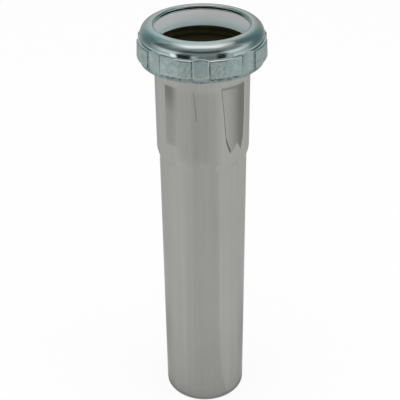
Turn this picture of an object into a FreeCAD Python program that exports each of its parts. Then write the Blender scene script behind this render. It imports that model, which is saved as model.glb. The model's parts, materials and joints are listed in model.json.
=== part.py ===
import FreeCAD, Part
import math
import os

# Basin waste tail pipe: a plated brass tube, belled at its top end, with the slip nut and the
# tapered washer that seal it round the tail of a basin waste. It stands upright on its cut end,
# with +Z along its axis and the origin at the middle of that end.

# Driving dimensions, in millimetres and degrees.

# Pipe
tube_od = 31.75
wall = 0.64
pipe_length = 152.4
socket_clearance = 0.2  # radial room in the bell for a tube of the pipe's own size
bell_depth = 40.6  # from the pipe's rim down to the shoulder
shoulder_height = 2.9
shoulder_round = 8.0
flare_height = 1.6  # the cone between the bell and the threaded collar
collar_step = 1.7  # how far the collar stands out from the bell
collar_length = 6.0

# Washer
washer_clearance = 0.225  # radial room for the tube that slides through it
washer_height = 5.75
washer_reach = 1.4  # how far its nose goes down into the pipe's mouth
washer_land = 2.0  # straight part of its bore, above which the bore widens
washer_draft = 0.3
washer_taper = 33.0  # half angle of the nose
washer_seat_gap = 0.12
washer_side_gap = 0.5

# Slip nut
thread_clearance = 0.3
nut_wall = 2.8
lip_clearance = 0.245  # radial room in the lip, more than in the bell
lip_thickness = 1.25
lip_gap = 0.1
lip_chamfer = 0.25
lip_flat = 0.1
crown_dip = 12.0  # how much the crown slopes down to the lip
crown_step = 0.3  # ledge between the crown's wall and the base of the slots
crown_wall = 0.85
panel_height = 6.3
panel_proud = 0.7
panel_draft = 2.7
panel_root = 0.6  # how far the panels run into the ring
rim_height = 1.95
rim_chamfer = 0.25
lead_in = 0.7
slot_count = 8
slot_width = 5.0
slot_side_angle = 25.0
slot_overcut = 1.0
slot_turn = -1.3  # how the slots stand round the axis, with one nearly on the -Y side

# Radii and heights that follow from them.

tube_r = tube_od / 2
bell_bore_r = tube_r + socket_clearance
bell_r = bell_bore_r + wall
collar_r = bell_r + collar_step
collar_bore_r = collar_r - wall
shoulder_top_z = pipe_length - bell_depth
shoulder_foot_z = shoulder_top_z - shoulder_height
collar_z = pipe_length - collar_length
flare_z = collar_z - flare_height

nut_bore_r = collar_r + thread_clearance
base_r = nut_bore_r + nut_wall
crown_r = base_r - crown_step
lip_r = bell_bore_r + lip_clearance
lip_top_r = lip_r + lip_chamfer
crown_run = crown_r - lip_top_r
crown_reach = (crown_run - lip_flat) / math.cos(math.radians(crown_dip))
crown_round = crown_reach * math.tan(math.radians(90 - crown_dip) / 2)

washer_bore_r = tube_r + washer_clearance
washer_r = nut_bore_r - washer_side_gap
washer_foot_z = pipe_length - washer_reach
washer_top_z = washer_foot_z + washer_height
washer_slope = math.tan(math.radians(washer_taper))
washer_mouth_r = collar_bore_r - washer_seat_gap / math.cos(math.radians(washer_taper))
washer_nose_r = washer_mouth_r - washer_reach * washer_slope
washer_taper_z = pipe_length + (washer_r - washer_mouth_r) / washer_slope

lip_z = washer_top_z + lip_gap
lip_edge_z = lip_z + lip_thickness
lip_top_z = lip_edge_z + lip_chamfer
crown_corner_z = lip_top_z + crown_run * math.tan(math.radians(crown_dip))
ledge_z = crown_corner_z - crown_reach - crown_wall
panel_z = ledge_z - panel_height
nut_foot_z = panel_z - rim_height
panel_foot_r = base_r + panel_proud + panel_height * math.tan(math.radians(panel_draft))


def point(corner):
    """The place of a section's corner, in the XZ half plane."""
    return FreeCAD.Vector(corner[0], 0, corner[1])


def rounding(corner):
    """A section's corner is (radius, height), or (radius, height, rounding) where it isn't sharp."""
    return corner[2] if len(corner) > 2 else 0


def corner_arc(before, corner, after):
    """The arc that rounds a corner, tangent to the two straight lines that meet there."""
    back = (point(before) - point(corner)).normalize()
    ahead = (point(after) - point(corner)).normalize()
    half_angle = back.getAngle(ahead) / 2
    reach = rounding(corner) / math.tan(half_angle)
    middle = rounding(corner) / math.sin(half_angle) - rounding(corner)
    start = point(corner) + back * reach
    end = point(corner) + ahead * reach
    through = point(corner) + (back + ahead).normalize() * middle
    return Part.Arc(start, through, end).toShape()


def revolved(corners):
    """A solid of revolution about Z from the corners of its section."""
    stretches = []
    for index, corner in enumerate(corners):
        after = corners[(index + 1) % len(corners)]
        if rounding(corner) > 0:
            stretches.append(corner_arc(corners[index - 1], corner, after))
        else:
            stretches.append(Part.Vertex(point(corner)))
    edges = []
    for index, stretch in enumerate(stretches):
        if stretch.Edges:
            edges.append(stretch)
        start = stretch.Vertexes[-1].Point
        end = stretches[(index + 1) % len(stretches)].Vertexes[0].Point
        edges.append(Part.LineSegment(start, end).toShape())
    section = Part.Face(Part.Wire(edges))
    return section.revolve(FreeCAD.Vector(0, 0, 0), FreeCAD.Vector(0, 0, 1), 360)


def inset(corners, distance):
    """The open line of corners moved to its left by a distance, with its roundings kept parallel."""
    moved = []
    last = len(corners) - 1
    for index, corner in enumerate(corners):
        here = point(corner)
        into = here - point(corners[index - 1]) if index > 0 else point(corners[1]) - here
        out = point(corners[index + 1]) - here if index < last else into
        into.normalize()
        out.normalize()
        left_in = FreeCAD.Vector(-into.z, 0, into.x)
        left_out = FreeCAD.Vector(-out.z, 0, out.x)
        shift = (left_in + left_out) * (distance / (1 + left_in.dot(left_out)))
        inner = here + shift
        turns_left = into.x * out.z - into.z * out.x > 0
        if rounding(corner) > 0:
            tighter = distance if turns_left else -distance
            moved.append((inner.x, inner.z, rounding(corner) - tighter))
        else:
            moved.append((inner.x, inner.z))
    return moved


def tail_pipe():
    """Thin tube drawn out to a bell, and again at the mouth to the collar that takes the thread."""
    outside = [
        (tube_r, 0),
        (tube_r, shoulder_foot_z),
        (bell_r, shoulder_top_z, shoulder_round),
        (bell_r, flare_z),
        (collar_r, collar_z),
        (collar_r, pipe_length),
    ]
    inside = inset(outside, wall)
    return revolved(outside + inside[::-1])


def slip_washer():
    """Moulded ring whose tapered nose wedges into the pipe's mouth."""
    return revolved([
        (washer_bore_r, washer_foot_z),
        (washer_nose_r, washer_foot_z),
        (washer_r, washer_taper_z),
        (washer_r, washer_top_z),
        (washer_bore_r + washer_draft, washer_top_z),
        (washer_bore_r, washer_foot_z + washer_land),
    ])


def slot_cutter():
    """Wedge-sided bar that cuts one slot between two panels, on the -Y side."""
    outer_r = panel_foot_r + slot_overcut
    root_r = base_r - panel_root
    spread = math.tan(math.radians(slot_side_angle))
    root_half = slot_width / 2 - panel_root * spread
    outer_half = slot_width / 2 + (outer_r - base_r) * spread
    low_z = panel_z - slot_overcut
    corners = [
        FreeCAD.Vector(-root_half, -root_r + slot_overcut, low_z),
        FreeCAD.Vector(-root_half, -root_r, low_z),
        FreeCAD.Vector(-outer_half, -outer_r, low_z),
        FreeCAD.Vector(outer_half, -outer_r, low_z),
        FreeCAD.Vector(root_half, -root_r, low_z),
        FreeCAD.Vector(root_half, -root_r + slot_overcut, low_z),
    ]
    outline = Part.makePolygon(corners + corners[:1])
    return Part.Face(outline).extrude(FreeCAD.Vector(0, 0, panel_height + 2 * slot_overcut))


def grip_panels():
    """The raised band round the nut, parted into panels by the slots."""
    band = revolved([
        (base_r - panel_root, panel_z),
        (panel_foot_r, panel_z),
        (base_r + panel_proud, ledge_z),
        (base_r - panel_root, ledge_z),
    ])
    cutter = slot_cutter()
    for index in range(slot_count):
        slot = cutter.copy()
        turn = slot_turn + 360 * index / slot_count
        slot.rotate(FreeCAD.Vector(0, 0, 0), FreeCAD.Vector(0, 0, 1), turn)
        band = band.cut(slot)
    return band


def slip_nut():
    """Cast ring with a rounded crown, a lip turned in over the washer and panels to grip."""
    ring = revolved([
        (lip_r, lip_z),
        (lip_r, lip_edge_z),
        (lip_top_r, lip_top_z),
        (crown_r, crown_corner_z, crown_round),
        (crown_r, ledge_z),
        (base_r, ledge_z),
        (base_r, nut_foot_z + rim_chamfer),
        (base_r - rim_chamfer, nut_foot_z),
        (nut_bore_r + lead_in, nut_foot_z),
        (nut_bore_r, nut_foot_z + lead_in),
        (nut_bore_r, lip_z),
    ])
    return ring.fuse(grip_panels()).removeSplitter()


pieces = {
    "tail_pipe": tail_pipe(),
    "slip_washer": slip_washer(),
    "slip_nut": slip_nut(),
}

os.makedirs("parts", exist_ok=True)
for name, shape in pieces.items():
    shape.exportStep(f"parts/{name}.step")
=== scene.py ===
import json
import math
from collections import namedtuple

import bpy
import numpy as np
from mathutils import Matrix, Vector, noise


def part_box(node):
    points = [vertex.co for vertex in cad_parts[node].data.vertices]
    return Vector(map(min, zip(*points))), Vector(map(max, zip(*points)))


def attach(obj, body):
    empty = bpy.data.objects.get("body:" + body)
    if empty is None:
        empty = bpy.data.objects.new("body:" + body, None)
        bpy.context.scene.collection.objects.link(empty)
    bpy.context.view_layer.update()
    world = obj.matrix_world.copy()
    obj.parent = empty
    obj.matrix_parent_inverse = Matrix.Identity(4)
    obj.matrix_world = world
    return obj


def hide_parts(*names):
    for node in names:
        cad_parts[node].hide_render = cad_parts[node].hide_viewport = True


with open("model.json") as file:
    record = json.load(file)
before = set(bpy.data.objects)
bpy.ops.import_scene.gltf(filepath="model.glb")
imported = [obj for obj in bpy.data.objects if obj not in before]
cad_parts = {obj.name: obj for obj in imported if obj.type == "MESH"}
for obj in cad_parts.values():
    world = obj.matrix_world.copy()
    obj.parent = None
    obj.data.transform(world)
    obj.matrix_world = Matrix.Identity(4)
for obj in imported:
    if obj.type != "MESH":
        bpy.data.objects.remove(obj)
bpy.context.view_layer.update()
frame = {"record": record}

bl_info = {
    "name": "Basin Waste Tail Pipe",
    "version": (1, 0, 0),
    "blender": (4, 5, 0),
    "location": "View3D > Sidebar > Tail Pipe",
    "description": "Belled and plated tail pipe with its cast slip nut and moulded washer",
    "category": "Add Mesh",
}

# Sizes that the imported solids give, in metres

MM = 0.001
pipe_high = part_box("tail_pipe")[1]
washer_low, washer_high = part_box("slip_washer")
nut_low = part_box("slip_nut")[0]
mounts = {mount["name"]: mount["dims"] for mount in frame["record"]["mounts"]}
tube_r = mounts["spigot"]["r_mm"] * MM
bell_bore_r = mounts["socket"]["r_mm"] * MM
thread_lead = frame["record"]["behaviour"]["couplings"][0]["ratio"] * 2 * math.pi


# Settings that a user would change

def length(name, description, millimetres):
    """A size, written in millimetres and kept in metres."""
    return bpy.props.FloatProperty(
        name=name, description=description, default=millimetres * MM, unit="LENGTH", precision=5)


def angle(name, description, degrees):
    """An angle, written in degrees and kept in radians."""
    return bpy.props.FloatProperty(
        name=name, description=description, default=math.radians(degrees), subtype="ANGLE", precision=4)


def colour(name, description, value):
    """A colour in linear light."""
    return bpy.props.FloatVectorProperty(
        name=name, description=description, default=value, size=3, subtype="COLOR", min=0, max=1)


class TailPipeSizes(bpy.types.PropertyGroup):
    """Sizes of the drawn pipe that its box and its mounts don't give"""
    wall: length("Wall", "Thickness of the drawn tube", 0.64)
    cut_round: length("Cut edge", "Rounding left by deburring the cut ends", 0.16)
    shoulder_height: length("Shoulder height", "Height of the cone under the bell", 2.9)
    shoulder_round: length("Shoulder rounding", "Rounding between the cone and the bell", 8.0)
    shoulder_crease: length("Shoulder crease", "Rounding between the cone and the tube", 0.3)
    flare_height: length("Flare height", "Height of the cone under the threaded collar", 1.6)
    flare_round: length("Flare rounding", "Rounding where the flare meets the bell", 0.9)
    collar_length: length("Collar length", "Length of the collar that takes the thread", 6.0)
    thread_root: length("Thread root", "How far the thread's root lies inside the collar's solid", 0.215)
    thread_depth: length("Thread depth", "Depth of the rolled thread", 0.65)
    unevenness: length("Unevenness", "How far the drawn tube strays from true", 0.006)


class SlipNutSizes(bpy.types.PropertyGroup):
    """Sizes of the cast slip nut"""
    thread_room: length("Thread room", "Radial room between the two threads", 0.33)
    bore_room: length("Bore room", "Radial room between the collar and the nut's bore", 0.3)
    wall: length("Wall", "Thickness of the ring at the floor of its slots", 2.8)
    crown_step: length("Crown step", "How far the crown's wall stands back from the slots", 0.3)
    crown_wall: length("Crown wall", "Height of the straight wall under the crown", 0.85)
    crown_foot: length("Crown foot", "How far the crown's wall leans out at its foot", 0.01)
    crown_dip: angle("Crown dip", "Slope of the crown down to the lip", 12.0)
    lip_room: length("Lip room", "Radial room in the lip, more than in the bell", 0.245)
    lip_thickness: length("Lip thickness", "Height of the lip's straight inner wall", 1.25)
    lip_gap: length("Lip gap", "Room between the lip and the washer", 0.1)
    lip_chamfer: length("Lip edge", "Size of the lip's broken edge", 0.25)
    lip_round: length("Lip rounding", "Rounding of the lip's top edge", 0.6)
    panel_height: length("Panel height", "Height of the grip panels", 6.3)
    panel_proud: length("Panel relief", "How far the panels stand out at their top", 0.7)
    panel_draft: angle("Panel draft", "Slope of the panels' faces", 2.7)
    edge_round: length("Cast edge", "Rounding of the panels' edges", 0.24)
    rim_step: length("Rim step", "How far the rim stands back from the slots", 0.1)
    rim_round: length("Rim rounding", "Rounding of the nut's foot", 0.22)
    slot_width: length("Slot width", "Width of a slot at its floor", 5.0)
    slot_side: length("Slot side", "Width of a slot's sloping side", 0.5)
    slot_flat: length("Slot flat", "How far the middle of a slot's flat floor stands back", 0.12)
    slot_dish: length("Slot dish", "How far a slot's floor curves up to its sides", 0.3)
    slot_arch: length("Slot arch", "How far a slot's top edge rises in its middle", 0.35)
    slot_turn: angle("Slot turn", "How the slots stand round the axis", -1.3)
    slots: bpy.props.IntProperty(name="Slots", description="Number of slots round the nut", default=8)
    unevenness: length("Unevenness", "How far the cast surface strays from true", 0.02)


class WasherSizes(bpy.types.PropertyGroup):
    """Sizes of the moulded washer"""
    bore_room: length("Bore room", "Radial room for the tube that slides through", 0.225)
    bore_land: length("Bore land", "Height of the straight part of the bore", 2.0)
    bore_draft: length("Bore draft", "How much the bore widens above its land", 0.3)
    nose_width: length("Nose width", "Width of the flat end of the nose", 0.62)
    nose_height: length("Nose height", "Height of the tapered nose", 2.298)
    edge_round: length("Moulded edge", "Rounding of the washer's edges", 0.22)
    unevenness: length("Unevenness", "How far the moulded bore strays from true", 0.02)


class FinishColours(bpy.types.PropertyGroup):
    """Colours of the finishes"""
    plate: colour("Plate", "Chrome plate on the pipe", (0.358, 0.360, 0.340))
    plate_dull: colour("Dull plate", "Plate where it is wiped and clouded", (0.338, 0.340, 0.324))
    brass: colour("Brass", "Bare brass in the bore", (0.52, 0.47, 0.15))
    tarnish: colour("Tarnish", "Brown film on the bare brass", (0.170, 0.167, 0.083))
    # Painted shade: darkens the bare brass deep in the bore
    bore_shade: colour("Bore shade", "Film deep in the bore", (0.030, 0.030, 0.015))
    zinc: colour("Zinc", "Passivated zinc casting", (0.478, 0.576, 0.556))
    zinc_blue: colour("Blue zinc", "Bluer drifts of the passivation", (0.424, 0.556, 0.566))
    # Worn metal that also serves as a painted highlight: it lightens the ledge line, the feet of the
    # slots' sides and the lip's shaded inner wall
    zinc_wear_and_highlight: colour("Worn zinc", "Bare metal along worn edges", (0.800, 0.840, 0.830))
    zinc_shade: colour("Dull zinc", "Duller patches of the cast skin", (0.400, 0.485, 0.465))
    pits: colour("Pits", "Dark pits of the casting", (0.150, 0.170, 0.155))
    # Painted shade with some grime: this colour darkens the slots, the tops of their sides, the rim and a
    # painted shadow under the panels
    shade_and_grime: colour("Grime", "Dirt left in the corners of the casting", (0.050, 0.055, 0.045))
    washer: colour("Washer", "Milky polyethylene", (0.815, 0.826, 0.819))
    washer_cool: colour("Washer shade", "Cooler tone low in the washer's bore", (0.760, 0.890, 0.890))
    floor: colour("Floor", "Pale floor", (0.90, 0.90, 0.90))


class StudioSettings(bpy.types.PropertyGroup):
    """Camera and lamps"""
    camera_back: length("Camera back", "Distance of the camera in front of the pipe's axis", 292.963)
    camera_height: length("Camera height", "Height of the camera above the floor", 272.359)
    lens: bpy.props.FloatProperty(name="Lens", description="Focal length in mm", default=82.53)
    pitch: angle("Pitch", "How far the camera looks down", 32.2225)
    yaw: angle("Yaw", "How far the camera looks to the right", -0.2574)
    roll: angle("Roll", "How far the camera leans", 0.6644)
    top_level: bpy.props.FloatProperty(
        name="Top lamp", description="Brightness of the top lamp", default=1.5)
    left_level: bpy.props.FloatProperty(
        name="Left lamp", description="Brightness of the left lamp", default=0.75)
    right_level: bpy.props.FloatProperty(
        name="Right lamp", description="Brightness of the right lamp", default=1.25)


# Shader maths

class Value:
    """An output of a node, with arithmetic that adds Math nodes beside it."""

    def __init__(self, nodes, socket):
        self.nodes = nodes
        self.socket = socket

    def math(self, operation, first, second):
        """A Math node on two values."""
        return self.nodes.add("ShaderNodeMath", {"operation": operation}, {0: first, 1: second})

    def __add__(self, other):
        return self.math("ADD", self, other)

    def __radd__(self, other):
        return self.math("ADD", other, self)

    def __sub__(self, other):
        return self.math("SUBTRACT", self, other)

    def __rsub__(self, other):
        return self.math("SUBTRACT", other, self)

    def __mul__(self, other):
        return self.math("MULTIPLY", self, other)

    def __rmul__(self, other):
        return self.math("MULTIPLY", other, self)


class Nodes:
    """The nodes of one material or world."""

    def __init__(self, owner):
        owner.use_nodes = True
        self.tree = owner.node_tree
        self.tree.nodes.clear()

    def add(self, kind, settings=None, sockets=None, output=0):
        """A node of a kind, with its settings made first, then its sockets set or linked."""
        node = self.tree.nodes.new(kind)
        for name, value in (settings or {}).items():
            setattr(node, name, value)
        for name, value in (sockets or {}).items():
            if isinstance(value, Value):
                self.tree.links.new(value.socket, node.inputs[name])
            else:
                node.inputs[name].default_value = value
        return Value(self, node.outputs[output]) if len(node.outputs) else None

    def place(self, output="Object"):
        """The place that is shaded, by default in the object's own frame."""
        return self.add("ShaderNodeTexCoord", output=output)

    def along(self, vector, axis):
        """One coordinate of a vector."""
        return self.add("ShaderNodeSeparateXYZ", None, {"Vector": vector}, axis)

    def cloud(self, vector, scale, detail=3.0):
        """Soft noise from 0 to 1, with its own scale along each axis."""
        stretched = self.add("ShaderNodeVectorMath", {"operation": "MULTIPLY"}, {0: vector, 1: scale})
        return self.add("ShaderNodeTexNoise", None, {"Vector": stretched, "Scale": 1.0, "Detail": detail})

    def ease(self, value, low, high):
        """0 below low, 1 above high and a smooth rise between them."""
        sockets = {"Value": value, "From Min": low, "From Max": high}
        return self.add("ShaderNodeMapRange", {"interpolation_type": "SMOOTHSTEP"}, sockets)

    def blend(self, first, second, share):
        """One colour turning into another."""
        sockets = {0: share, 6: first, 7: second}
        return self.add("ShaderNodeMix", {"data_type": "RGBA"}, sockets, 2)

    def mark(self, name):
        """A measure that the mesh carries."""
        return self.add("ShaderNodeAttribute", {"attribute_name": name}, None, "Fac")

    def relief(self, height, depth):
        """A bumped normal, with a depth in metres."""
        return self.add("ShaderNodeBump", None, {"Height": height, "Distance": depth, "Strength": 1.0})

    def surface(self, sockets):
        """The finished surface."""
        shader = self.add("ShaderNodeBsdfPrincipled", None, sockets)
        self.add("ShaderNodeOutputMaterial", None, {"Surface": shader})


def rgba(tone):
    """A colour as a socket takes it."""
    return (*tone, 1.0)


# Finishes

def chrome_plate(colours):
    """Bright plate on drawn tube, with faint lines along the draw, wiping marks and cloudiness."""
    material = bpy.data.materials.new("chrome_plate")
    nodes = Nodes(material)
    place = nodes.place()
    drawn = nodes.cloud(place, (520, 520, 7))
    hairlines = nodes.cloud(place, (4200, 4200, 45), 2.0)
    clouds = nodes.cloud(place, (70, 70, 38), 4.0)
    dull = nodes.ease(drawn * 0.6 + clouds * 0.4, 0.38, 0.62)
    nodes.surface({
        "Base Color": nodes.blend(rgba(colours.plate), rgba(colours.plate_dull), dull),
        "Metallic": 1.0,
        "Specular Tint": (0.68, 0.68, 0.68, 1.0),
        "Roughness": 0.008 + 0.028 * clouds + 0.012 * hairlines,
        "Normal": nodes.relief(drawn * 0.7 + hairlines * 0.3, 0.0013 * MM),
    })
    return material


def bare_brass(colours):
    """Unplated brass inside the pipe and on its cut ends, gone brown in drifts, with painted shade deep
    in the bore.
    """
    material = bpy.data.materials.new("bare_brass")
    nodes = Nodes(material)
    place = nodes.place()
    film = nodes.ease(nodes.cloud(place, (150, 150, 40), 5.0), 0.22, 0.52)
    scores = nodes.cloud(place, (3000, 3000, 60))
    depth = nodes.along(place, "Z")
    deep = nodes.ease(depth, pipe_high.z - 1.4 * MM, pipe_high.z - 2.6 * MM)
    # Painted shade, full from 6 mm below the rim downwards
    deep_shade = nodes.ease(depth, pipe_high.z - 4 * MM, pipe_high.z - 6 * MM)
    browned = nodes.blend(rgba(colours.brass), rgba(colours.tarnish), film * 0.35 + deep * 0.65)
    nodes.surface({
        "Base Color": nodes.blend(browned, rgba(colours.bore_shade), deep_shade * 0.8),
        "Metallic": 1.0,
        "Roughness": 0.46 + 0.16 * film,
        "Normal": nodes.relief(scores, 0.006 * MM),
    })
    return material


def cast_zinc(colours):
    """Passivated zinc casting: bright crown, satin panels with a cast skin, painted shade with some
    grime, and worn edges that also carry painted highlights.
    """
    material = bpy.data.materials.new("cast_zinc")
    nodes = Nodes(material)
    place = nodes.place()
    bright = nodes.mark("bright")
    wear_and_highlight = nodes.mark("wear_and_highlight")
    shade_and_grime_mask = nodes.mark("shade_and_grime")
    skin = nodes.cloud(place, (700, 700, 700), 4.0)
    grit = nodes.cloud(place, (2100, 2100, 2100), 2.0)
    drift = nodes.cloud(place, (110, 110, 110), 4.0)
    rough = 1 - bright
    dulled = nodes.ease(skin, 0.43, 0.60) * (0.15 + 0.80 * rough)
    pitted = nodes.ease(grit, 0.52, 0.68) * rough
    worn_and_highlit = nodes.ease(wear_and_highlight * 0.60 + skin * 0.9, 0.72, 1.05)
    drifted = nodes.blend(rgba(colours.zinc), rgba(colours.zinc_blue), nodes.ease(drift, 0.35, 0.65))
    mottled = nodes.blend(drifted, rgba(colours.zinc_shade), dulled)
    bitten = nodes.blend(mottled, rgba(colours.pits), pitted * 0.42)
    patchy = 0.40 + 0.75 * nodes.ease(skin, 0.60, 0.38)
    # Painted shade with some grime, patchy with the cast skin
    shaded_and_dirty = nodes.blend(bitten, rgba(colours.shade_and_grime), shade_and_grime_mask * patchy)
    nodes.surface({
        # Worn edges, with painted highlights where the wear mark carries them
        "Base Color": nodes.blend(shaded_and_dirty, rgba(colours.zinc_wear_and_highlight), worn_and_highlit * 0.6),
        "Metallic": 1 - 0.12 * rough,
        "Roughness": 0.06 + 0.40 * rough + 0.12 * skin * rough - 0.03 * worn_and_highlit,
        "Normal": nodes.relief((skin * 0.8 + grit * 0.35) * (0.05 + 0.95 * rough), 0.13 * MM),
    })
    return material


def milky_plastic(colours):
    """Moulded polyethylene, slightly see-through at its edges, with fine mould marks."""
    material = bpy.data.materials.new("milky_plastic")
    nodes = Nodes(material)
    place = nodes.place()
    height = nodes.along(place, "Z")
    flow = nodes.cloud(place, (160, 160, 260), 4.0)
    rings = nodes.cloud(place, (60, 60, 5200), 2.0)
    low_in_bore = nodes.ease(height + flow * 0.6 * MM, washer_low.z + 4.6 * MM, washer_low.z + 1.6 * MM)
    nodes.surface({
        "Base Color": nodes.blend(rgba(colours.washer), rgba(colours.washer_cool), low_in_bore),
        "Roughness": 0.38 + 0.16 * flow,
        "Subsurface Weight": 0.25,
        "Subsurface Radius": (1.0, 1.0, 0.9),
        "Subsurface Scale": 1.2 * MM,
        "Normal": nodes.relief(rings * 0.6 + flow * 0.4, 0.02 * MM),
    })
    return material


# Turned shapes

# A corner of a section: its radius, height and rounding, and the longest step on the run after it
Corner = namedtuple("Corner", "r z round step", defaults=(0.0, 6.0 * MM))
arc_step = 0.3 * MM  # longest straight piece of a wide arc
arc_turn = math.radians(11)  # widest turn of a straight piece of an arc
long_run = 2 * MM  # a straight run longer than this has a point near each end, for straight shading
guard = 0.1 * MM  # how near to the ends these points lie


def ease(value, low, high):
    """0 below low, 1 above high and a smooth rise between them."""
    share = np.clip((value - low) / (high - low), 0, 1)
    return share * share * (3 - 2 * share)


def section_points(corners):
    """Points along a closed section, and the number of the point at which each corner begins."""
    turns = []
    for index, corner in enumerate(corners):
        here = Vector(corner[:2])
        back = (Vector(corners[index - 1][:2]) - here).normalized()
        ahead = (Vector(corners[(index + 1) % len(corners)][:2]) - here).normalized()
        if corner.round == 0:
            turns.append([here])
            continue
        half = back.angle(ahead) / 2
        centre = here + (back + ahead).normalized() * corner.round / math.sin(half)
        start = here + back * corner.round / math.tan(half) - centre
        sweep = start.angle_signed(here + ahead * corner.round / math.tan(half) - centre)
        by_turn = math.ceil(abs(sweep) / arc_turn)
        by_length = math.ceil(abs(sweep) * corner.round / arc_step)
        pieces = max(2, by_turn, by_length)
        arc = []
        for piece in range(pieces + 1):
            arc.append(centre + Matrix.Rotation(-sweep * piece / pieces, 2) @ start)
        turns.append(arc)
    points = []
    starts = []
    for index, arc in enumerate(turns):
        starts.append(len(points))
        points.extend(arc)
        run = turns[(index + 1) % len(turns)][0] - arc[-1]
        pieces = max(1, math.ceil(run.length / corners[index].step))
        stops = [piece / pieces for piece in range(1, pieces)]
        if run.length > long_run:
            stops = [guard / run.length, *stops, 1 - guard / run.length]
        for stop in stops:
            points.append(arc[-1] + run * stop)
    return points, starts


def turned(name, points, angles, shape):
    """A ring with a section, whose shape(r, z, angle) gives the final radius and height of a point."""
    r = np.array([point[0] for point in points])[:, None] + 0 * angles[None, :]
    z = np.array([point[1] for point in points])[:, None] + 0 * angles[None, :]
    turn = angles[None, :] + 0 * r
    r, z = shape(r, z, turn)
    places = np.stack([r * np.cos(turn), r * np.sin(turn), z], axis=-1).reshape(-1, 3)
    rows, columns = r.shape
    row = np.arange(rows)[:, None] * columns
    column = np.arange(columns)[None, :]
    next_row = np.roll(row, -1, axis=0)
    next_column = np.roll(column, -1, axis=1)
    corners = [row + column, row + next_column, next_row + next_column, next_row + column]
    faces = np.stack(corners, axis=-1).reshape(-1, 4)
    mesh = bpy.data.meshes.new(name)
    mesh.from_pydata(places.tolist(), [], faces.tolist())
    mesh.shade_smooth()
    ring = bpy.data.objects.new(name, mesh)
    bpy.context.scene.collection.objects.link(ring)
    return ring


def even_angles(count):
    """Angles of the columns of a plain ring."""
    return np.linspace(0, 2 * math.pi, count, endpoint=False)


def wander(r, z, turn, size, seed):
    """Smooth noise over a ring's surface, from -1 to 1, with waves of a size."""
    xyz = np.stack([r * np.cos(turn), r * np.sin(turn), z], axis=-1).reshape(-1, 3) / size + seed
    values = [noise.noise(Vector(place)) for place in xyz.tolist()]
    return np.array(values).reshape(r.shape)


def thread_height(z, turn):
    """Height of the right-hand thread at a place, from 0 at its root to 1 at its crest."""
    return 0.5 + 0.5 * np.cos(2 * math.pi * z / thread_lead - turn)


def by_line(distance, width):
    """1 on a line, fading out on both sides of it over a width."""
    return np.exp(-(distance / width) ** 2)


def put(piece, body, node, materials):
    """Sets a piece in the frame in place of its plain solid, with its finishes."""
    for material in materials:
        piece.data.materials.append(material)
    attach(piece, body)
    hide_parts(node)


class TAILPIPE_OT_pipe(bpy.types.Operator):
    """Add the drawn pipe, with its bell, flare and rolled thread"""
    bl_idname = "tailpipe.pipe"
    bl_label = "Drawn pipe"

    def execute(self, context):
        sizes = context.scene.tail_pipe
        wall = sizes.wall
        bell_r = bell_bore_r + wall
        tube_bore_r = tube_r - wall
        rim_z = pipe_high.z
        root_r = pipe_high.x - sizes.thread_root
        collar_bore_r = pipe_high.x - wall
        collar_z = rim_z - sizes.collar_length
        flare_z = collar_z - sizes.flare_height
        foot_z = mounts["spigot"]["length_mm"] * MM
        bell_z = foot_z + sizes.shoulder_height
        cone_shift = wall * math.tan(math.atan((bell_r - tube_r) / sizes.shoulder_height) / 2)
        flare_shift = wall * math.tan(math.atan((pipe_high.x - bell_r) / sizes.flare_height) / 2)
        fine = thread_lead / 16
        cut = sizes.cut_round
        columns = 192
        inner_share = 0.15  # share of the rolled thread that shows inside the collar
        outside = [
            Corner(tube_r, 0, cut),
            Corner(tube_r, foot_z, sizes.shoulder_crease),
            Corner(bell_r, bell_z, sizes.shoulder_round),
            Corner(bell_r, flare_z, sizes.flare_round),
            Corner(root_r, collar_z, sizes.flare_round / 2, fine),
            Corner(root_r, rim_z, cut),
        ]
        inside = [
            Corner(collar_bore_r, rim_z, cut, fine),
            Corner(collar_bore_r, collar_z + flare_shift, sizes.flare_round / 2),
            Corner(bell_bore_r, flare_z + flare_shift, sizes.flare_round),
            Corner(bell_bore_r, bell_z + cone_shift, sizes.shoulder_round - wall),
            Corner(tube_bore_r, foot_z + cone_shift, sizes.shoulder_crease + wall),
            Corner(tube_bore_r, 0, cut),
        ]
        points, starts = section_points(outside + inside)
        first_inside = starts[len(outside)]

        def shape(r, z, turn):
            """The thread on the collar, and a slight waviness below it."""
            runs_in = ease(z, collar_z + 0.3 * MM, collar_z + 1.1 * MM)
            runs_out = ease(z, rim_z - 0.2 * MM, rim_z - 0.7 * MM)
            thread = thread_height(z, turn) * sizes.thread_depth * runs_in * runs_out
            thread[first_inside:] *= inner_share
            plain = ease(z, 0, 4 * MM) * ease(z, flare_z, flare_z - 4 * MM)
            stray = wander(r, z / 3, turn, 9 * MM, 4.2) * sizes.unevenness * plain
            return r + thread + stray, z

        pipe = turned("drawn_pipe", points, even_angles(columns), shape)
        colours = context.scene.tail_pipe_colours
        put(pipe, "pipe", "tail_pipe", [chrome_plate(colours), bare_brass(colours)])
        bare = np.zeros(len(pipe.data.polygons), dtype=np.int32)
        bare[first_inside * columns:] = 1
        pipe.data.polygons.foreach_set("material_index", bare)
        return {"FINISHED"}


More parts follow.
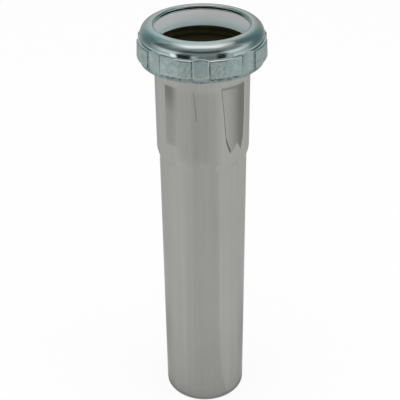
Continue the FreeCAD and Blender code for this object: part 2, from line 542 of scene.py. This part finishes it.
class TAILPIPE_OT_washer(bpy.types.Operator):
    """Add the moulded washer that seals the bell"""
    bl_idname = "tailpipe.washer"
    bl_label = "Moulded washer"

    def execute(self, context):
        sizes = context.scene.tail_pipe_washer
        bore_r = tube_r + sizes.bore_room
        edge = sizes.edge_round
        points, _ = section_points([
            Corner(bore_r, washer_low.z, edge / 2),
            Corner(bore_r + sizes.nose_width, washer_low.z, edge / 2),
            Corner(washer_high.x, washer_low.z + sizes.nose_height, edge),
            Corner(washer_high.x, washer_high.z, edge),
            Corner(bore_r + sizes.bore_draft, washer_high.z, edge),
            Corner(bore_r, washer_low.z + sizes.bore_land, edge, 0.5 * MM),
        ])

        def shape(r, z, turn):
            """A slight waviness of the bore."""
            inside = ease(r, bore_r + 0.5 * MM, bore_r + 0.3 * MM)
            return r + inside * wander(r, z, turn, 5 * MM, 1.7) * sizes.unevenness, z

        washer = turned("moulded_washer", points, even_angles(160), shape)
        plastic = milky_plastic(context.scene.tail_pipe_colours)
        put(washer, "washer", "slip_washer", [plastic])
        return {"FINISHED"}


class TAILPIPE_OT_nut(bpy.types.Operator):
    """Add the cast slip nut, with its crown, lip, panels, slots and thread"""
    bl_idname = "tailpipe.nut"
    bl_label = "Cast slip nut"

    def execute(self, context):
        sizes = context.scene.tail_pipe_nut
        pipe = context.scene.tail_pipe

        # Section of the ring, cut through a panel
        bore_r = pipe_high.x + sizes.bore_room
        base_r = bore_r + sizes.wall
        rim_r = base_r - sizes.rim_step
        crown_r = base_r - sizes.crown_step
        lip_r = bell_bore_r + sizes.lip_room
        lip_z = washer_high.z + sizes.lip_gap
        dip = sizes.crown_dip
        lip_edge_z = lip_z + sizes.lip_thickness + sizes.lip_chamfer * (1 - math.tan(dip))
        crown_corner_z = lip_edge_z + (crown_r - lip_r) * math.tan(dip)
        crown_reach = (crown_r - lip_r - sizes.lip_chamfer - 0.1 * MM) / math.cos(dip)
        crown_round = crown_reach * math.tan((math.pi / 2 - dip) / 2)
        ledge_z = crown_corner_z - crown_reach - sizes.crown_wall
        panel_z = ledge_z - sizes.panel_height
        foot_z = nut_low.z
        panel_r = base_r + sizes.panel_proud
        panel_foot_r = panel_r + sizes.panel_height * math.tan(sizes.panel_draft)
        thread_r = pipe_high.x - pipe.thread_root + sizes.thread_room
        open_r = thread_r + pipe.thread_depth
        thread_foot_z = foot_z + 0.6 * MM
        thread_top_z = pipe_high.z + 0.4 * MM
        edge = sizes.edge_round
        points, starts = section_points([
            Corner(open_r + 0.3 * MM, foot_z, 0.1 * MM),
            Corner(rim_r, foot_z, sizes.rim_round),
            Corner(rim_r, panel_z, 0.04 * MM),
            Corner(panel_foot_r, panel_z, edge, 0.7 * MM),
            Corner(panel_r, ledge_z, 2.3 * edge, 0.25 * MM),
            Corner(crown_r + sizes.crown_foot, ledge_z, edge / 2, 0.2 * MM),
            Corner(crown_r, crown_corner_z, crown_round, 0.25 * MM),
            Corner(lip_r, lip_edge_z, sizes.lip_round, 0.3 * MM),
            Corner(lip_r, lip_z, 0.1 * MM),
            Corner(bore_r, lip_z, 0.3 * MM),
            Corner(bore_r, thread_top_z, 0, thread_lead / 14),
            Corner(bore_r, thread_foot_z, 0),
        ])
        # First points of the corners that part the finishes, in the order above
        ledge_from, crown_from = starts[4:6]
        lip_foot_from, bore_from, thread_from = starts[8:11]

        # Columns round the ring, close together at the sides of the slots
        slot_step = 2 * math.pi / sizes.slots
        half_slot = sizes.slot_width / 2
        foot_round = 0.4 * MM  # width of the round at the foot of a slot's side
        near_edge = np.linspace(half_slot - 0.45 * MM, half_slot + sizes.slot_side + 0.3 * MM, 11)
        mid_panel = panel_r * slot_step / 2
        on_panel = np.linspace(near_edge[-1], mid_panel, 6)[1:]
        in_slot = np.linspace(0, near_edge[0], 4)[:-1]
        half = np.concatenate([in_slot, near_edge, on_panel]) / panel_r
        sector = np.concatenate([-half[:0:-1], half[:-1]])
        first_slot = sizes.slot_turn - math.pi / 2
        middles = np.arange(sizes.slots) * slot_step + first_slot
        angles = (middles[:, None] + sector[None, :]).reshape(-1)

        def from_slot(turn):
            """Distance from the middle of the nearest slot, along the panels' face."""
            steps = (turn - first_slot) / slot_step
            return np.abs(steps - np.round(steps)) * slot_step * panel_r

        def slot_rise(away):
            """0 on a slot's floor and 1 on a panel's face, with a wide round at the side's foot."""
            share = np.clip((away - half_slot + foot_round) / (sizes.slot_side + foot_round), 0, 1)
            return ease(share ** 1.6, 0, 1)

        def shape(r, z, turn):
            """The slots, the thread and the slight unevenness of the casting."""
            low = rim_r + (crown_r - rim_r) * np.clip((z - panel_z) / sizes.panel_height, 0, 1)
            face_r = panel_r + (ledge_z - z) * math.tan(sizes.panel_draft)
            away = from_slot(turn)
            raised = slot_rise(away)
            inside = np.minimum(away, half_slot)
            floor_r = (base_r - sizes.slot_flat) / np.cos(inside / panel_r)
            floor_r = floor_r + sizes.slot_dish * (inside / half_slot) ** 2
            band_r = floor_r + raised * (face_r - floor_r)
            tiny = 0.001 * MM
            band = (r > low + tiny) & (z > panel_z - tiny) & (z < ledge_z + tiny)
            r = np.where(band, low + (r - low) * (band_r - low) / (face_r - low), r)
            arch = 1 - np.clip(away / half_slot, 0, 1.1) ** 2
            by_top = ease(np.abs(z - ledge_z), 0.8 * MM, 0.1 * MM)
            z = z + sizes.slot_arch * arch * (1 - raised) * by_top

            thread = thread_r + thread_height(z, turn) * pipe.thread_depth
            thread = thread + (open_r - thread) * ease(z, thread_foot_z + 0.9 * MM, thread_foot_z)
            thread = thread + (bore_r - thread) * ease(z, thread_top_z - 0.6 * MM, thread_top_z)
            r[thread_from:] = thread[thread_from:]

            stray = wander(r, z, turn, 2.6 * MM, 0.3) + 0.5 * wander(r, z, turn, 1.1 * MM, 7.9)
            outer = ease(r, bore_r + 1.0 * MM, bore_r + 1.6 * MM)
            crown = np.zeros_like(r)
            crown[crown_from:lip_foot_from] = 1
            stray = stray * sizes.unevenness * outer * (1 - 0.55 * crown)
            return r + stray, z + stray * crown

        nut = turned("cast_nut", points, angles, shape)
        put(nut, "nut", "slip_nut", [cast_zinc(context.scene.tail_pipe_colours)])

        # Marks that the finish reads: how bright the casting is, its wear with painted highlights, and
        # its painted shade with some grime, at each point
        row_z = np.array([point[1] for point in points])[:, None]
        row_r = np.array([point[0] for point in points])[:, None]
        away = from_slot(angles[None, :])
        raised = slot_rise(away)
        band = (row_z > panel_z - edge) & (row_z < ledge_z + 0.02 * MM) & (row_r > base_r)
        in_slots = band * (1 - raised)
        outer = row_r > bore_r + 1 * MM

        bright = np.zeros((len(points), len(angles)))
        bright[:ledge_from] = 0.42 * in_slots[:ledge_from]
        bright[ledge_from:crown_from] = 0.6
        bright[crown_from:lip_foot_from] = 1
        bright[lip_foot_from:bore_from] = -0.8  # rougher than the panels

        # Wear along the panels' edges, which also paints highlights: a bright line along the ledge and at
        # the feet of the slots' sides
        top_edge = by_line(row_z - ledge_z, 0.35 * MM)
        foot_edge = 0.6 * by_line(row_z - panel_z, 0.30 * MM) * raised
        side_foot = 0.6 * by_line(raised - 0.05, 0.07)
        wear_and_highlight = band * np.maximum(side_foot, np.maximum(foot_edge, top_edge))
        # Painted light on the lip's shaded inner wall
        wear_and_highlight[lip_foot_from:bore_from] = 0.9

        # Painted shade with some grime: dark lines at the tops of the slots' sides, a painted shadow
        # under the panels, a darker rim below them and darker slot floors
        side_top = band * by_line(away - half_slot - sizes.slot_side + 0.08 * MM, 0.20 * MM)
        below = (row_r < panel_foot_r - edge) & outer
        shadow_under_panels = by_line(row_z - panel_z, 0.2 * MM) * below * raised
        rim = (0.36 + 0.2 * (1 - raised)) * (row_z < panel_z - 0.05 * MM) * outer
        slots = 0.22 * (row_z < ledge_z - 0.3 * MM) * in_slots
        shade_and_grime = np.maximum.reduce([side_top, shadow_under_panels, rim, slots])

        for name, measure in (("bright", bright), ("wear_and_highlight", wear_and_highlight), ("shade_and_grime", shade_and_grime)):
            attribute = nut.data.attributes.new(name, "FLOAT", "POINT")
            attribute.data.foreach_set("value", measure.astype(np.float32).reshape(-1))
        return {"FINISHED"}


# Studio

def studio_floor(material):
    """The wide floor that the pipe stands on."""
    half = 4.0  # half of its width, in metres
    corners = [(-half, -half, 0), (half, -half, 0), (half, half, 0), (-half, half, 0)]
    mesh = bpy.data.meshes.new("floor")
    mesh.from_pydata(corners, [], [(0, 1, 2, 3)])
    mesh.materials.append(material)
    floor = bpy.data.objects.new("floor", mesh)
    bpy.context.scene.collection.objects.link(floor)


def lamp(name, middle, towards, width, height, level):
    """A soft lamp of a brightness, facing a point."""
    light = bpy.data.lights.new(name, "AREA")
    light.shape = "ELLIPSE"
    light.size = width
    light.size_y = height
    light.energy = level * math.pi * width * height
    holder = bpy.data.objects.new(name, light)
    holder.location = middle
    facing = Vector(towards) - Vector(middle)
    holder.rotation_euler = facing.to_track_quat("-Z", "Y").to_euler()
    holder.visible_glossy = False
    bpy.context.scene.collection.objects.link(holder)


def pale_floor(colours):
    """Floor that looks white, also in the metal, and keeps a soft shadow."""
    material = bpy.data.materials.new("pale_floor")
    nodes = Nodes(material)
    seen = nodes.add("ShaderNodeLightPath", output="Is Camera Ray")
    seen = seen + nodes.add("ShaderNodeLightPath", output="Is Glossy Ray")
    seen = seen + nodes.add("ShaderNodeLightPath", output="Is Transmission Ray")
    paper = nodes.add("ShaderNodeBsdfDiffuse", None, {"Color": rgba(colours.floor)})
    white = nodes.add("ShaderNodeEmission", None, {"Color": (1, 1, 1, 1), "Strength": 1.0})
    shader = nodes.add("ShaderNodeMixShader", None, {0: seen * 0.9, 1: paper, 2: white})
    nodes.add("ShaderNodeOutputMaterial", None, {"Surface": shader})
    return material


def studio_air():
    """Even light of the room."""
    world = bpy.data.worlds.new("studio_air")
    bpy.context.scene.world = world
    nodes = Nodes(world)
    up = nodes.along(nodes.place("Generated"), "Z")
    tone = nodes.blend((0.76, 0.76, 0.76, 1), (0.83, 0.84, 0.84, 1), nodes.ease(up, 0.0, 1.0))
    air = nodes.add("ShaderNodeBackground", None, {"Color": tone, "Strength": 1.0})
    nodes.add("ShaderNodeOutputWorld", None, {"Surface": air})


def studio_camera(studio):
    """The camera, in front of the pipe and looking down at it."""
    camera = bpy.data.cameras.new("camera")
    camera.sensor_width = 36
    camera.lens = studio.lens
    camera.clip_start = 0.01
    flat_ahead = Vector((math.sin(studio.yaw), math.cos(studio.yaw), 0))
    flat_right = Vector((math.cos(studio.yaw), -math.sin(studio.yaw), 0))
    ahead = flat_ahead * math.cos(studio.pitch) - Vector((0, 0, math.sin(studio.pitch)))
    flat_down = ahead.cross(flat_right)
    right = flat_right * math.cos(studio.roll) + flat_down * math.sin(studio.roll)
    down = flat_down * math.cos(studio.roll) - flat_right * math.sin(studio.roll)
    axes = Matrix((right, -down, -ahead)).transposed().to_4x4()
    axes.translation = (0, -studio.camera_back, studio.camera_height)
    holder = bpy.data.objects.new("camera", camera)
    holder.matrix_world = axes
    bpy.context.scene.collection.objects.link(holder)
    bpy.context.scene.camera = holder


# Sheets of light and shade that only the metal mirrors

brightest_tone = 1.8  # strength of a sheet where its mark is 1
doorway_tone = 0.03
wall_r = 1.0  # radius of the round wall, in metres
wall_rows = 40
ceiling_z = 1.7  # height of the ceiling, in metres
rise_from_z = nut_low.z + 9 * MM  # the wall's heights are taken as rises above this, in degrees


def sheet_glow(name, tint):
    """Light of the sheets, in a tint."""
    material = bpy.data.materials.new(name)
    nodes = Nodes(material)
    tone = nodes.blend((0, 0, 0, 1), rgba(tint), nodes.mark("tone"))
    glow = nodes.add("ShaderNodeEmission", None, {"Color": tone, "Strength": brightest_tone})
    nodes.add("ShaderNodeOutputMaterial", None, {"Surface": glow})
    return material


def studio_sheet(name, place, tone, columns, rows, material):
    """A sheet whose place and tone are functions of two shares, along and across it, from 0 to 1."""
    places = []
    tones = []
    for row in range(rows + 1):
        for column in range(columns + 1):
            places.append(place(column / columns, row / rows))
            tones.append(tone(column / columns, row / rows) / brightest_tone)
    faces = []
    for row in range(rows):
        for column in range(columns):
            first = row * (columns + 1) + column
            faces.append((first, first + 1, first + columns + 2, first + columns + 1))
    mesh = bpy.data.meshes.new(name)
    mesh.from_pydata(places, [], faces)
    mesh.materials.append(material)
    mesh.attributes.new("tone", "FLOAT", "POINT").data.foreach_set("value", tones)
    sheet = bpy.data.objects.new(name, mesh)
    sheet.visible_camera = False
    sheet.visible_diffuse = False
    sheet.visible_transmission = False
    sheet.visible_shadow = False
    bpy.context.scene.collection.objects.link(sheet)


def round_the_pipe(bearing, radius, z):
    """The place at a bearing in degrees from the camera's side, turning towards +X."""
    turn = math.radians(bearing)
    return (radius * math.sin(turn), -radius * math.cos(turn), z)


def mixed(first, second, share):
    """One value turning into another."""
    return first + (second - first) * share


def even(value):
    """A radius or a tone that is the same all over a sheet."""
    return lambda *place: value


def profile(*pairs):
    """A measure that runs straight from one pair to the next, each a place and its value."""
    places, values = zip(*pairs)
    return lambda place, *others: np.interp(place, places, values)


def wall(name, bearings, tone, columns, material):
    """A stretch of the round wall between two bearings, with tone(bearing, z)."""
    def place(along, up):
        return round_the_pipe(mixed(*bearings, along), wall_r, ceiling_z * up)

    def stretch_tone(along, up):
        bearing = mixed(*bearings, along)
        return tone(bearing - 360 if bearing > 180 else bearing, ceiling_z * up)

    studio_sheet(name, place, stretch_tone, columns, wall_rows, material)


def fan(name, bearings, near, far, z, tone, columns, rows, material):
    """A lying sheet from near(bearing) to far(bearing), with tone(bearing, radius)."""
    def spot(along, out):
        bearing = mixed(*bearings, along)
        return bearing, mixed(near(bearing), far(bearing), out)

    def place(along, out):
        return round_the_pipe(*spot(along, out), z)

    def fan_tone(along, out):
        return tone(*spot(along, out))

    studio_sheet(name, place, fan_tone, columns, rows, material)


def strip(name, line, width, z, tone, material):
    """A narrow line on the floor, through places given by their x and y."""
    x_at = profile(*enumerate(x for x, _ in line))
    y_at = profile(*enumerate(y for _, y in line))

    def place(along, across):
        stop = along * (len(line) - 1)
        return (x_at(stop) + width * across, y_at(stop), z)

    studio_sheet(name, place, even(tone), 12, 1, material)


def doorway(bearing):
    """1 in the two dark gaps in front, which run on over the table."""
    left = ease(bearing, -50, -43) * ease(bearing, -13, -25)
    right = ease(bearing, 22, 29) * ease(bearing, 47, 40)
    return max(left, right)


def room_walls(plain, cool):
    """The wall: dim in front with two doorways, pale at the sides, dull at the rear, bright behind."""
    # Tones by the rise
    front = profile(
        (-9, 0.33), (6, 0.31), (14, 0.28), (20, 0.16), (25, 0.05), (30, 0.10), (38, 0.24),
        (45, 0.34), (54, 0.45))
    left_side = profile(
        (-9, 0.90), (0, 0.95), (6, 1.00), (14, 0.60), (22, 0.25), (30, 0.22), (45, 0.36),
        (57, 0.65))
    right_side = profile(
        (-9, 0.70), (0, 0.80), (6, 1.05), (14, 1.05), (22, 0.45), (30, 0.30), (45, 0.34),
        (57, 0.60))
    left_rear = profile((34, 0.28), (40, 0.40), (50, 0.54), (57, 0.62))
    right_rear = profile(
        (-9, 0.45), (0, 0.50), (6, 0.58), (14, 0.72), (22, 0.72), (30, 0.50), (45, 0.30),
        (57, 0.45))
    back = profile(
        (-9, 0.38), (0, 0.42), (6, 0.50), (14, 0.62), (22, 0.70), (30, 0.80), (45, 0.88),
        (57, 0.95))
    # Rise of the doorways' tops by the bearing
    door_top = profile((-30, 3), (30, 8))
    door_fade = 7

    def wall_tone(bearing, z):
        rise = math.degrees(math.atan2(z - rise_from_z, wall_r))
        round_wall = profile(
            (-180, back(rise)), (-168, 0.9 * back(rise)), (-150, 0.50),
            (-125, left_rear(rise)), (-105, left_rear(rise)),
            (-92, 0.5 * left_side(rise)), (-70, left_side(rise)), (-48, left_side(rise)),
            (-33, front(rise)), (30, front(rise)),
            (50, right_side(rise)), (70, right_side(rise)),
            (88, right_rear(rise)), (98, 0.6 * right_rear(rise)), (108, 0.23), (125, 0.22),
            (150, 0.38), (168, 0.8 * back(rise)), (180, back(rise)),
        )
        dark = doorway(bearing) * ease(rise, door_top(bearing), door_top(bearing) - door_fade)
        return mixed(round_wall(bearing), doorway_tone, dark)

    wall("front_wall", (-105, 92), wall_tone, 40, plain)
    wall("right_wall", (92, 150), wall_tone, 12, cool)
    wall("back_wall", (150, 210), wall_tone, 12, plain)
    wall("left_wall", (210, 255), wall_tone, 9, cool)


def room_ceiling(warm):
    """The ceiling, lit brightest over the pipe and before it."""
    lengthwise = profile(
        (-1.0, 0.45), (-0.80, 0.60), (-0.55, 1.25), (-0.35, 1.65), (0.05, 1.60), (0.30, 1.30),
        (0.6, 1.00), (1.0, 0.90))
    crosswise = profile((0.45, 1), (0.65, 0.78), (0.85, 0.48), (1.0, 0.42))

    def ceiling_tone(bearing, radius):
        x, y, _ = round_the_pipe(bearing, radius, ceiling_z)
        return lengthwise(y) * crosswise(abs(x))

    fan("ceiling", (-180, 180), even(0.002), even(wall_r), ceiling_z, ceiling_tone, 72, 24, warm)


def floor_and_table(plain):
    """The floor's shades round the pipe and the table's front part."""
    middle_shade = profile(
        (-70, 0.0), (-58, 0.10), (-45, 0.12), (-30, 0.14), (-17, 0.22), (10, 0.22), (20, 0.16),
        (30, 0.13), (44, 0.0))
    far_shade = profile(
        (-70, 0.0), (-58, 0.04), (-45, 0.07), (-30, 0.10), (-17, 0.11), (10, 0.11), (20, 0.08),
        (30, 0.03), (44, 0.0))
    behind_foot = profile(
        (90, 1), (108, 0.91), (120, 0.82), (130, 0.74), (142, 0.65), (152, 0.59), (165, 0.50),
        (180, 0.45))
    farther_behind = profile(
        (90, 1), (108, 0.99), (120, 1.03), (130, 1.03), (142, 0.95), (152, 0.84), (165, 0.75),
        (180, 0.70))
    away = profile(
        (-180, 0.64), (-130, 0.28), (-108, 0.33), (-96, 0.40), (-75, 0.62), (-60, 0.72),
        (-57, 1), (57, 1), (60, 0.70), (86, 0.52), (96, 0.33), (108, 0.24), (130, 0.22),
        (180, 0.64))
    foot_fade = profile((0.0160, 0.45), (0.0165, 0.75), (0.0178, 0.85), (0.022, 0.95), (0.030, 1.0))
    table = profile(
        (-58, 1.5), (-48, 1.5), (-40, 1.2), (-20, 0.9), (-5, 0.26), (10, 0.23), (24, 0.25),
        (45, 0.55), (58, 0.55))

    def floor_tone(bearing, radius):
        foot = 0.09 * ease(radius, 0.075, 0.02)
        near = 0.13 * ease(bearing, -62, -18) * ease(bearing, 43, 35)
        front = mixed(near, middle_shade(bearing), ease(radius, 0.205, 0.222))
        front = mixed(front, far_shade(bearing), ease(radius, 0.304, 0.311))
        turned_away = abs(bearing)
        behind = mixed(behind_foot(turned_away), farther_behind(turned_away), ease(radius, 0.03, 0.085))
        farther = mixed(1, away(bearing), ease(radius, 0.352, 0.45))
        return (1 - foot) * (1 - front) * behind * farther

    def foot_tone(bearing, radius):
        return floor_tone(bearing, radius) * foot_fade(radius)

    def table_tone(bearing, _):
        return mixed(table(bearing), doorway_tone, doorway(bearing))

    fan("floor_shade", (-180, 180), even(0.018), even(0.97), 0.4 * MM, floor_tone, 180, 160, plain)
    fan("foot_shade", (-180, 180), even(0.0160), even(0.030), 0.5 * MM, foot_tone, 90, 14, plain)
    fan("table_front", (-58, 58), even(0.350), even(0.95), 0.6 * MM, table_tone, 58, 24, plain)


def papers(plain):
    """The two papers that lie beside the pipe, with painted shadows along their edges, and a line on the
    floor.
    """
    right_near = profile(
        (44.8, 0.307), (50.5, 0.272), (56.7, 0.234), (69.2, 0.217), (90, 0.228),
        (103.4, 0.217), (112.4, 0.230), (116.3, 0.260))
    right_tone = profile((46, 0.93), (60, 0.93), (77, 0.78), (98, 0.50), (118, 0.48))
    left_out = profile(
        (0.226, 0.86), (0.232, 0.80), (0.270, 0.78), (0.284, 0.64), (0.296, 0.52),
        (0.308, 0.50))

    def left_tone(bearing, radius):
        return mixed(left_out(radius), 0.9, ease(bearing, -82, -58))

    fan("right_paper", (44.8, 116.3), right_near, even(0.311), 0.8 * MM, right_tone, 72, 4, plain)
    fan("left_paper", (-99, -58), even(0.226), even(0.310), 1.0 * MM, left_tone, 12, 16, plain)
    # Thin dark bands along the papers' far edges and the right paper's front edge: painted shadows of the
    # edges
    for name, bearings in (("left_paper_top_shadow", (-98, -74)), ("right_paper_top_shadow", (44.8, 113))):
        fan(name, bearings, even(0.3075), even(0.3105), 1.1 * MM, even(0.5), 24, 1, plain)
    paper_front = [(0.216, -0.218), (0.210, -0.173), (0.1955, -0.1285), (0.2025, -0.077)]
    floor_line = [(-0.1135, -0.286), (-0.093, -0.2735), (-0.072, -0.256)]
    strip("paper_edge_shadow", paper_front, 0.0055, 1.2 * MM, 0.32, plain)
    strip("floor_line", floor_line, 0.009, 1.2 * MM, 0.36, plain)


def mirrored_room():
    """All that the metal mirrors."""
    plain = sheet_glow("plain_glow", (1, 1, 1))
    warm = sheet_glow("warm_glow", (1.0, 0.86, 0.855))
    cool = sheet_glow("cool_glow", (0.70, 0.93, 0.97))
    room_walls(plain, cool)
    room_ceiling(warm)
    floor_and_table(plain)
    papers(plain)


class TAILPIPE_OT_studio(bpy.types.Operator):
    """Add the floor, the mirrored room, the lamps and the camera"""
    bl_idname = "tailpipe.studio"
    bl_label = "Studio"

    def execute(self, context):
        scene = context.scene
        studio = scene.tail_pipe_studio
        scene.view_settings.view_transform = "Standard"
        studio_floor(pale_floor(scene.tail_pipe_colours))
        studio_air()
        mirrored_room()
        aim = (0, 0, 0.15)
        lamp("top_lamp", (0, -0.05, 0.85), aim, 0.62, 0.52, studio.top_level)
        lamp("left_lamp", (-0.55, -0.20, 0.26), aim, 0.34, 0.20, studio.left_level)
        lamp("right_lamp", (0.55, -0.18, 0.33), aim, 0.34, 0.20, studio.right_level)
        studio_camera(studio)
        return {"FINISHED"}


class TAILPIPE_PT_parts(bpy.types.Panel):
    """Pieces of the tail pipe"""
    bl_idname = "TAILPIPE_PT_parts"
    bl_label = "Tail Pipe"
    bl_space_type = "VIEW_3D"
    bl_region_type = "UI"
    bl_category = "Tail Pipe"

    def draw(self, context):
        for operator in operators:
            self.layout.operator(operator.bl_idname)


operators = (TAILPIPE_OT_pipe, TAILPIPE_OT_washer, TAILPIPE_OT_nut, TAILPIPE_OT_studio)
settings = {
    "tail_pipe": TailPipeSizes,
    "tail_pipe_nut": SlipNutSizes,
    "tail_pipe_washer": WasherSizes,
    "tail_pipe_colours": FinishColours,
    "tail_pipe_studio": StudioSettings,
}


def register():
    for cls in (*settings.values(), *operators, TAILPIPE_PT_parts):
        bpy.utils.register_class(cls)
    for name, group in settings.items():
        setattr(bpy.types.Scene, name, bpy.props.PointerProperty(type=group))


def unregister():
    for name in settings:
        delattr(bpy.types.Scene, name)
    for cls in (TAILPIPE_PT_parts, *operators, *settings.values()):
        bpy.utils.unregister_class(cls)


def main():
    register()
    bpy.ops.tailpipe.pipe()
    bpy.ops.tailpipe.washer()
    bpy.ops.tailpipe.nut()
    bpy.ops.tailpipe.studio()


if __name__ == "__main__":
    main()
